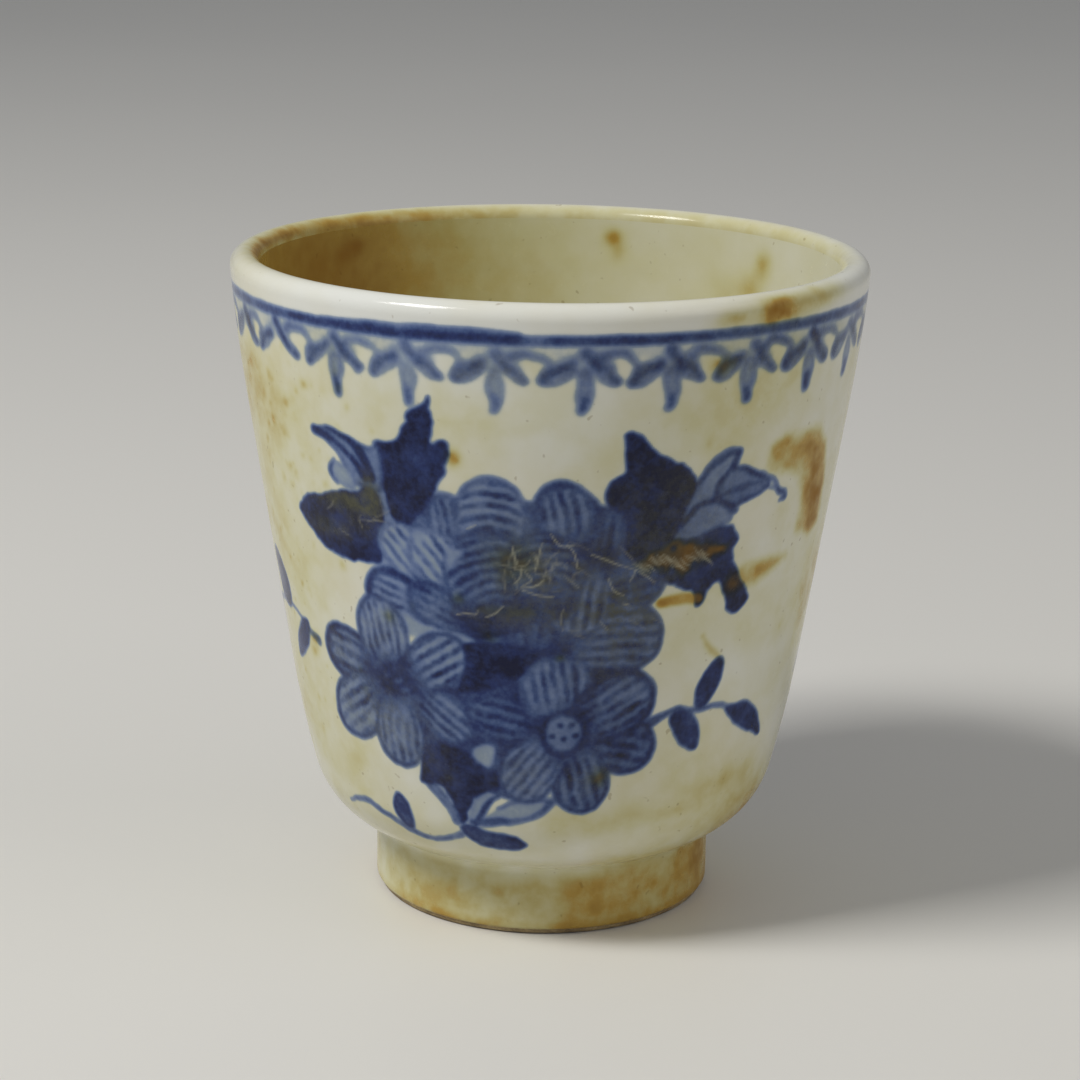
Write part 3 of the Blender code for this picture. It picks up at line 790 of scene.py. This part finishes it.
def grain(tree, place, size, detail=3.0, roughness=0.5):
    # noise with features about size mm across
    noise = addNode(tree, "ShaderNodeTexNoise",
                    {"Vector": place, "Scale": 1000.0 / size, "Detail": detail,
                     "Roughness": roughness})
    return noise.outputs["Fac"]


def ramp(tree, value, stops):
    made = addNode(tree, "ShaderNodeValToRGB", {"Fac": value})
    elements = made.color_ramp.elements
    elements[0].position, elements[0].color = stops[0]
    elements[1].position, elements[1].color = stops[-1]
    for position, colour in stops[1:-1]:
        elements.new(position).color = colour
    return made.outputs["Color"]


def newGroup(name, **inputs):
    # a group with the named inputs and their values, and the place where its effect starts from
    group = bpy.data.node_groups.new(name, "ShaderNodeTree")
    for label, value in inputs.items():
        kind = "NodeSocketColor" if isinstance(value, tuple) else "NodeSocketFloat"
        group.interface.new_socket(label, in_out="INPUT", socket_type=kind).default_value = value
    place = addNode(group, "ShaderNodeTexCoord").outputs["Object"]
    return group, addNode(group, "NodeGroupInput").outputs, place


def giveOut(group, **outputs):
    # the group's named outputs; only Colour is a colour
    result = addNode(group, "NodeGroupOutput")
    for label, value in outputs.items():
        kind = "NodeSocketColor" if label == "Colour" else "NodeSocketFloat"
        group.interface.new_socket(label, in_out="OUTPUT", socket_type=kind)
        group.links.new(value, result.inputs[label])
    return group


def newMaterial(name):
    material = bpy.data.materials.new(name)
    material.use_nodes = True
    tree = material.node_tree
    place = addNode(tree, "ShaderNodeTexCoord").outputs["Object"]
    return material, tree, tree.nodes["Principled BSDF"], place


def agedGlazeGroup():
    # clear glaze over porcelain: yellowed patches, iron specks, a satin of fine wear, ripples
    group, given, place = newGroup("agedGlaze", Fresh=(0.7, 0.7, 0.6, 1.0), Aged=(0.6, 0.5, 0.3, 1.0),
                                   Ageing=0.5, Polish=0.12)
    broad = remap(group, grain(group, place, 22.0, 4.0, 0.55), 0.36, 0.66)
    cloudy = remap(group, grain(group, place, 5.0, 5.0, 0.6), 0.3, 0.75, 0.55, 1.0)
    share = calc(group, "MULTIPLY", calc(group, "MULTIPLY", broad, cloudy), given["Ageing"])
    colour = mixColour(group, share, given["Fresh"], given["Aged"])
    specks = remap(group, grain(group, place, 0.9, 1.0), 0.72, 0.8, 0.0, 0.35)
    colour = mixColour(group, specks, colour, shade(128, 106, 70))
    worn = remap(group, grain(group, place, 1.6, 6.0, 0.7), 0.35, 0.8, 0.0, 0.14)
    rough = calc(group, "ADD", given["Polish"], worn)
    ripple = calc(group, "MULTIPLY", grain(group, place, 7.0, 2.0), 0.8)
    pits = calc(group, "MULTIPLY", grain(group, place, 0.8, 3.0), 0.12)
    return giveOut(group, Colour=colour, Roughness=rough, Height=calc(group, "ADD", ripple, pits))


def stainGroup():
    # tea and dirt: a yellow filter where it is thin, and an ochre crust over everything where thick
    group, given, place = newGroup("teaStain", Colour=(0.7, 0.7, 0.6, 1.0), Amount=0.0, Breakup=0.3)
    uneven = remap(group, grain(group, place, 2.4, 4.0, 0.5), 0.3, 0.7, -1.0, 0.8)
    uneven = calc(group, "ADD", calc(group, "MULTIPLY", uneven, given["Breakup"]), 1.0)
    amount = calc(group, "MULTIPLY", given["Amount"], uneven, clamp=True)
    filtered = ramp(group, amount, [(0.0, (1.0, 1.0, 1.0, 1.0)), (0.25, shade(235, 230, 192)),
                                    (0.4, shade(220, 206, 146)), (0.55, shade(212, 180, 98)),
                                    (1.0, shade(140, 94, 30))])
    soaked = mixColour(group, 1.0, given["Colour"], filtered, "MULTIPLY")
    crust = remap(group, amount, 0.3, 1.0, 0.0, 0.75)
    colour = mixColour(group, crust, soaked, shade(148, 104, 26))
    mask = calc(group, "ADD", crust, calc(group, "MULTIPLY", amount, 0.3))
    return giveOut(group, Colour=colour, Mask=mask)


agedGlaze = agedGlazeGroup()
teaStain = stainGroup()


def useGroup(tree, group, inputs):
    return addNode(tree, "ShaderNodeGroup", inputs, node_tree=group).outputs


def layerOf(tree, name):
    return addNode(tree, "ShaderNodeAttribute", attribute_name=name).outputs["Fac"]


def finishSurface(tree, shader, colour, rough, height, strength, depth):
    # depth is how deep, in metres, the height map goes
    bump = addNode(tree, "ShaderNodeBump", {"Height": height, "Strength": strength, "Distance": depth})
    tree.links.new(colour, shader.inputs["Base Color"])
    tree.links.new(rough, shader.inputs["Roughness"])
    tree.links.new(bump.outputs["Normal"], shader.inputs["Normal"])


def newGlaze(name, look):
    # a material with aged glaze in it, ready for what lies in and on the glaze
    material, tree, shader, place = newMaterial(name)
    shader.inputs["IOR"].default_value = 1.45
    shader.inputs["Specular IOR Level"].default_value = 0.25
    glaze = useGroup(tree, agedGlaze, {"Fresh": look["fresh"], "Aged": look["aged"],
                                       "Ageing": look["ageing"], "Polish": look["polish"]})
    return material, tree, shader, place, glaze


def finishGlaze(tree, shader, colour, rough, height, look):
    finishSurface(tree, shader, colour, rough, height, look["ripple"], 0.0002)


# the glaze outside lies over brushed cobalt
outerLook = {"fresh": shade(219, 220, 215), "aged": shade(210, 204, 176), "ageing": 0.5,
             "polish": 0.1, "ripple": 0.35, "breakup": 0.2, "film": shade(84, 84, 66),
             "hair": shade(180, 178, 156), "step": 0.2, "seam": -64.0,
             "cobalt": [(0.0, shade(176, 186, 194)), (0.22, shade(139, 154, 178)),
                        (0.4, shade(104, 122, 163)), (0.58, shade(65, 86, 134)),
                        (0.76, shade(34, 50, 104)), (1.0, shade(4, 12, 54))]}


def outerGlazeMaterial(look):
    material, tree, shader, place, glaze = newGlaze("outerGlaze", look)
    # the cobalt pools and mottles: cloudy washes, and a fine grain where it lies thick
    cobalt = layerOf(tree, "cobalt")
    cloud = remap(tree, grain(tree, place, 3.0, 4.0, 0.6), 0.3, 0.7, 0.86, 1.1)
    granules = remap(tree, grain(tree, place, 0.5, 2.0, 0.5), 0.3, 0.7, 0.94, 1.05)
    density = calc(tree, "MULTIPLY", calc(tree, "MULTIPLY", cobalt, cloud), granules, clamp=True)
    pigment = ramp(tree, density, look["cobalt"])
    cover = remap(tree, density, 0.0, 0.24)
    colour = mixColour(tree, cover, glaze["Colour"], pigment)
    # the stain layer holds the stains and, on the right below the garland, a patch of painted shade
    stain = useGroup(tree, teaStain, {"Colour": colour, "Amount": layerOf(tree, "stain"),
                                      "Breakup": look["breakup"]})
    # a dull film of dirt, and pale hairs and scratches on top
    filmBreak = remap(tree, grain(tree, place, 1.2, 6.0, 0.7), 0.32, 0.68, 0.35, 1.0)
    film = calc(tree, "MULTIPLY", layerOf(tree, "dust"), filmBreak, clamp=True)
    colour = mixColour(tree, film, stain["Colour"], look["film"])
    lint = layerOf(tree, "lint")
    colour = mixColour(tree, lint, colour, look["hair"])
    rough = calc(tree, "ADD", glaze["Roughness"], calc(tree, "MULTIPLY", stain["Mask"], 0.45))
    rough = calc(tree, "ADD", rough, calc(tree, "MULTIPLY", film, 0.4), clamp=True)
    height = calc(tree, "ADD", glaze["Height"], calc(tree, "MULTIPLY", film, 0.3))
    height = calc(tree, "ADD", height, calc(tree, "MULTIPLY", lint, 0.5))
    finishGlaze(tree, shader, colour, rough, height, look)
    return material


def roundTheWall(look):
    # where the columns of a painted skin stand; the seam is kept where it shows least
    count = round(aroundCup / look["step"])
    return look["seam"] + aroundCup * np.arange(count) / count


outside, inside, well = cupOutlines(cup)
radii, heights, along = evenly(outside, outerLook["step"])
paintU = roundTheWall(outerLook)
# up the wall the painting goes by height, and over the lip by the length of the outline
lipRow = int(np.argmax(radii > radii.max() - 0.002))
paintZ = np.where(along <= along[lipRow], heights, heights[lipRow] + along - along[lipRow])
paintZ = np.maximum.accumulate(paintZ + np.arange(len(paintZ)) * 1e-7)
canvas = paintCup(paintU, paintZ)
outerGlaze = turnSkin("outerGlaze", radii, heights, paintU / paintRadius,
                      {layer: canvas[layer] for layer in paintLayers})
settle(outerGlaze, "outer_glaze", outerGlazeMaterial(outerLook))
print("outer glaze painted:", len(paintU), "by", len(paintZ))


# the glaze inside is browned by tea
innerLook = {"fresh": shade(219, 220, 212), "aged": shade(206, 204, 172), "ageing": 0.6,
             "polish": 0.16, "ripple": 0.4, "breakup": 0.07, "step": 0.4, "seam": -30.0}


def innerGlazeMaterial(look):
    material, tree, shader, _, glaze = newGlaze("innerGlaze", look)
    stain = useGroup(tree, teaStain, {"Colour": glaze["Colour"], "Amount": layerOf(tree, "stain"),
                                      "Breakup": look["breakup"]})
    rough = calc(tree, "ADD", glaze["Roughness"], calc(tree, "MULTIPLY", stain["Mask"], 0.2))
    finishGlaze(tree, shader, stain["Colour"], rough, glaze["Height"], look)
    return material


radii, heights, along = evenly(inside, innerLook["step"])
innerU = roundTheWall(innerLook)
innerZ = heights[0] - along[::-1]  # measured down from the lip
tea = paintInside(innerU, innerZ)
innerGlaze = turnSkin("innerGlaze", radii, heights, innerU / paintRadius, {"stain": tea[::-1]})
settle(innerGlaze, "inner_glaze", innerGlazeMaterial(innerLook))
print("inner glaze made")


# the glaze in the hollow of the foot
wellLook = {"fresh": shade(206, 200, 172), "aged": shade(178, 160, 108), "ageing": 1.0,
            "polish": 0.24, "ripple": 0.5, "corner": (0.0115, 0.0148), "step": 0.4, "turns": 240}


def wellGlazeMaterial(look):
    material, tree, shader, place, glaze = newGlaze("wellGlaze", look)
    # darker and browner towards the corner
    axes = addNode(tree, "ShaderNodeSeparateXYZ", {0: place}).outputs
    reach = calc(tree, "SQRT", calc(tree, "ADD", calc(tree, "POWER", axes["X"], 2.0),
                                    calc(tree, "POWER", axes["Y"], 2.0)), 0.0)
    corner = remap(tree, reach, *look["corner"], 0.05, 0.5)
    stain = useGroup(tree, teaStain, {"Colour": glaze["Colour"], "Amount": corner})
    finishGlaze(tree, shader, stain["Colour"], glaze["Roughness"], glaze["Height"], look)
    return material


radii, heights, _ = evenly(well, wellLook["step"])
angles = 2.0 * math.pi * np.arange(wellLook["turns"]) / wellLook["turns"]
wellGlaze = turnSkin("wellGlaze", radii, heights, angles, inward=True)
settle(wellGlaze, "well_glaze", wellGlazeMaterial(wellLook))
print("foot well glazed")


def firedClayGroup():
    # bare fired clay: a sandy body with dirt worked into it in patches
    group, given, place = newGroup("firedClay", Clay=(0.5, 0.4, 0.3, 1.0), Dirt=(0.1, 0.07, 0.03, 1.0),
                                   Soiling=0.5)
    patches = remap(group, grain(group, place, 4.0, 5.0, 0.6), 0.35, 0.7)
    patches = calc(group, "MULTIPLY", patches, given["Soiling"])
    colour = mixColour(group, patches, given["Clay"], given["Dirt"])
    sand = remap(group, grain(group, place, 0.25, 2.0), 0.3, 0.7, 0.0, 0.3)
    colour = mixColour(group, sand, colour, given["Dirt"])
    rough = remap(group, patches, 0.0, 1.0, 0.85, 0.6)
    bumps = calc(group, "ADD", grain(group, place, 0.3, 4.0, 0.6), grain(group, place, 2.0))
    return giveOut(group, Colour=colour, Roughness=rough, Height=bumps)


firedClay = firedClayGroup()


def clayMaterial(name, look):
    material, tree, shader, _ = newMaterial(name)
    clay = useGroup(tree, firedClay, {"Clay": look["clay"], "Dirt": look["dirt"],
                                      "Soiling": look["soiling"]})
    finishSurface(tree, shader, clay["Colour"], clay["Roughness"], clay["Height"], look["grit"], 0.00008)
    return material


# the foot stands on a bare sole; above it the ring runs up under the glaze
footLook = {"clay": shade(176, 156, 116), "dirt": shade(84, 62, 36), "soiling": 0.75, "grit": 0.6,
            "chamfer": 0.35, "top": 6.6, "inset": 0.65}


def footOutline(shape, look):
    outer = shape["footRadius"] - shape["edgeRoll"]
    inner = shape["footRadius"] - shape["wall"] + shape["edgeRoll"]
    neck = shape["bareEdge"] + 0.1
    side = look["inset"] - shape["edgeRoll"]
    return [(inner, look["chamfer"]), (inner + 0.1, 0.1), (inner + look["chamfer"], 0.0),
            (outer - look["chamfer"], 0.0), (outer - 0.1, 0.1), (outer, look["chamfer"]),
            (outer, neck), (outer - side, neck + side), (outer - side, look["top"]),
            (inner + side, look["top"]), (inner + side, neck + side), (inner, neck)]


sole = np.array(footOutline(cup, footLook))
footRing = turnSkin("footRing", sole[:, 0], sole[:, 1], angles, looped=True)
settle(footRing, "foot_ring", clayMaterial("bareFoot", footLook))
footRing.data.set_sharp_from_angle(angle=math.radians(50.0))
print("foot ring made")

# the bowl's clay is the solid itself, hidden under its glaze
bowlLook = {"clay": shade(226, 222, 206), "dirt": shade(200, 190, 160), "soiling": 0.3, "grit": 0.4}
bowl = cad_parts["bowl"]
bowl.data.materials.clear()
bowl.data.materials.append(clayMaterial("bowlClay", bowlLook))
print("bowl clay given its shading")


# a pale floor, one warm soft box on the left and a wider, weaker one on the right
stageLook = {"floor": shade(222, 220, 215), "cloudy": shade(214, 212, 208), "size": 8.0, "rough": 0.42,
             "keyLight": {"place": (-0.53, -0.28, 0.8), "size": 0.26, "watts": 7.0,
                          "colour": (1.0, 0.99, 0.96)},
             "fillLight": {"place": (0.95, -0.3, 0.6), "size": 0.9, "watts": 2.4,
                           "colour": (1.0, 0.95, 0.88)},
             "sky": (0.9, 0.92, 0.95, 1.0), "skyStrength": 0.28}


def makeFloor(look):
    half = look["size"] / 2
    mesh = bpy.data.meshes.new("floor")
    mesh.from_pydata([(-half, -half, 0.0), (half, -half, 0.0), (half, half, 0.0), (-half, half, 0.0)],
                     [], [(0, 1, 2, 3)])
    floor = bpy.data.objects.new("floor", mesh)
    floor.location.z = -0.00005
    bpy.context.scene.collection.objects.link(floor)
    material, tree, shader, place = newMaterial("floor")
    tone = remap(tree, grain(tree, place, 400.0, 2.0), 0.3, 0.7, 0.0, 0.25)
    tree.links.new(mixColour(tree, tone, look["floor"], look["cloudy"]), shader.inputs["Base Color"])
    shader.inputs["Roughness"].default_value = look["rough"]
    mesh.materials.append(material)


def softLight(name, box):
    # a square soft box turned towards the cup
    data = bpy.data.lights.new(name, "AREA")
    data.size = box["size"]
    data.energy = box["watts"]
    data.color = box["colour"]
    lamp = bpy.data.objects.new(name, data)
    lamp.location = box["place"]
    aim = Vector((0.0, 0.0, 0.035)) - lamp.location
    lamp.rotation_euler = aim.to_track_quat("-Z", "Y").to_euler()
    bpy.context.scene.collection.objects.link(lamp)


makeFloor(stageLook)
for name in ("keyLight", "fillLight"):
    softLight(name, stageLook[name])
world = bpy.data.worlds.new("studio")
world.use_nodes = True
background = world.node_tree.nodes["Background"]
background.inputs["Color"].default_value = stageLook["sky"]
background.inputs["Strength"].default_value = stageLook["skyStrength"]
bpy.context.scene.world = world
bpy.context.scene.view_settings.view_transform = "Standard"
print("floor and lights set")
